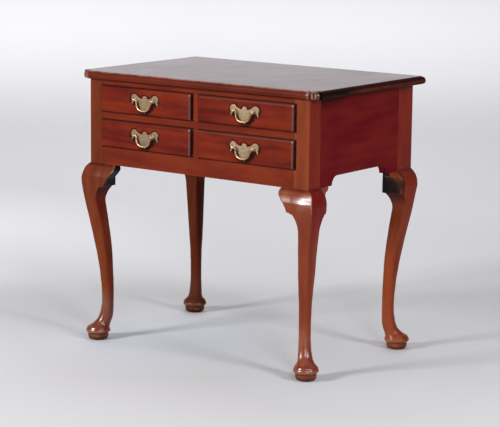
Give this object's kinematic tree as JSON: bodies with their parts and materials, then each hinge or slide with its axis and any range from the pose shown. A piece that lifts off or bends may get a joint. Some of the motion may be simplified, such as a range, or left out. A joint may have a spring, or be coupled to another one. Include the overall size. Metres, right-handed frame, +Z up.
{
  "type": "lowboy",
  "caption": "Small dressing table on cabriole legs with pad feet: a case of lipped drawers with bail pulls under a moulded, notch-cornered top.",
  "frame": {"origin": "on the floor, under the middle of the whole piece", "axes": "+X to the right along the front, +Y from the front towards the back, +Z up"},
  "size_m": [0.77, 0.5056, 0.73],
  "materials": {
    "case_wood": "red-brown polished cherry or mahogany, worn along edges",
    "drawer_front_wood": "red-brown polished wood, thumb-moulded edge",
    "top_wood": "glossy old polish, long grain along the width",
    "inner_wood": "bare secondary wood, pine or poplar",
    "plate_brass": "dull old brass",
    "bail_brass": "rubbed brass",
    "screw_steel": "dark iron"
  },
  "bodies": {
    "case": {"back_panel": "inner_wood", "bottom_rail": "case_wood", "divider_lower": "case_wood", "divider_upper": "case_wood", "kickers": "inner_wood", "knee_block_front_left": "case_wood", "knee_block_front_right": "case_wood", "knee_block_side_front_left": "case_wood", "knee_block_side_front_right": "case_wood", "knee_block_side_rear_left": "case_wood", "knee_block_side_rear_right": "case_wood", "leg_front_left": "case_wood", "leg_front_right": "case_wood", "leg_rear_left": "case_wood", "leg_rear_right": "case_wood", "middle_rail": "case_wood", "runner_lower_centre": "inner_wood", "runner_lower_left": "inner_wood", "runner_lower_right": "inner_wood", "runner_upper_centre": "inner_wood", "runner_upper_left": "inner_wood", "runner_upper_right": "inner_wood", "side_panel_left": "case_wood", "side_panel_right": "case_wood", "top_board_front": "top_wood", "top_board_rear": "top_wood", "top_rail": "case_wood", "top_screws": "screw_steel"},
    "lower_left_drawer": {"lower_left_drawer_back": "inner_wood", "lower_left_drawer_bottom": "inner_wood", "lower_left_drawer_front": "drawer_front_wood", "lower_left_drawer_pull_bolts": "bail_brass", "lower_left_drawer_pull_plate": "plate_brass", "lower_left_drawer_side_left": "inner_wood", "lower_left_drawer_side_right": "inner_wood"},
    "lower_left_drawer_bail": {"lower_left_drawer_bail": "bail_brass"},
    "lower_right_drawer": {"lower_right_drawer_back": "inner_wood", "lower_right_drawer_bottom": "inner_wood", "lower_right_drawer_front": "drawer_front_wood", "lower_right_drawer_pull_bolts": "bail_brass", "lower_right_drawer_pull_plate": "plate_brass", "lower_right_drawer_side_left": "inner_wood", "lower_right_drawer_side_right": "inner_wood"},
    "lower_right_drawer_bail": {"lower_right_drawer_bail": "bail_brass"},
    "upper_left_drawer": {"upper_left_drawer_back": "inner_wood", "upper_left_drawer_bottom": "inner_wood", "upper_left_drawer_front": "drawer_front_wood", "upper_left_drawer_pull_bolts": "bail_brass", "upper_left_drawer_pull_plate": "plate_brass", "upper_left_drawer_side_left": "inner_wood", "upper_left_drawer_side_right": "inner_wood"},
    "upper_left_drawer_bail": {"upper_left_drawer_bail": "bail_brass"},
    "upper_right_drawer": {"upper_right_drawer_back": "inner_wood", "upper_right_drawer_bottom": "inner_wood", "upper_right_drawer_front": "drawer_front_wood", "upper_right_drawer_pull_bolts": "bail_brass", "upper_right_drawer_pull_plate": "plate_brass", "upper_right_drawer_side_left": "inner_wood", "upper_right_drawer_side_right": "inner_wood"},
    "upper_right_drawer_bail": {"upper_right_drawer_bail": "bail_brass"}
  },
  "joints": [
    {"name": "upper_left_drawer_slide", "type": "slide", "parent": "case", "child": "upper_left_drawer", "axis": [0, -1, 0], "range_m": [0, 0.32]},
    {"name": "upper_left_drawer_bail_swing", "type": "hinge", "parent": "upper_left_drawer", "child": "upper_left_drawer_bail", "pos_m": [-0.16137, -0.2472, 0.6658], "axis": [-1, 0, 0], "range_deg": [0, 90]},
    {"name": "upper_right_drawer_slide", "type": "slide", "parent": "case", "child": "upper_right_drawer", "axis": [0, -1, 0], "range_m": [0, 0.32]},
    {"name": "upper_right_drawer_bail_swing", "type": "hinge", "parent": "upper_right_drawer", "child": "upper_right_drawer_bail", "pos_m": [0.16137, -0.2472, 0.6658], "axis": [-1, 0, 0], "range_deg": [0, 90]},
    {"name": "lower_left_drawer_slide", "type": "slide", "parent": "case", "child": "lower_left_drawer", "axis": [0, -1, 0], "range_m": [0, 0.32]},
    {"name": "lower_left_drawer_bail_swing", "type": "hinge", "parent": "lower_left_drawer", "child": "lower_left_drawer_bail", "pos_m": [-0.16137, -0.2472, 0.5728], "axis": [-1, 0, 0], "range_deg": [0, 90]},
    {"name": "lower_right_drawer_slide", "type": "slide", "parent": "case", "child": "lower_right_drawer", "axis": [0, -1, 0], "range_m": [0, 0.32]},
    {"name": "lower_right_drawer_bail_swing", "type": "hinge", "parent": "lower_right_drawer", "child": "lower_right_drawer_bail", "pos_m": [0.16137, -0.2472, 0.5728], "axis": [-1, 0, 0], "range_deg": [0, 90]}
  ]
}
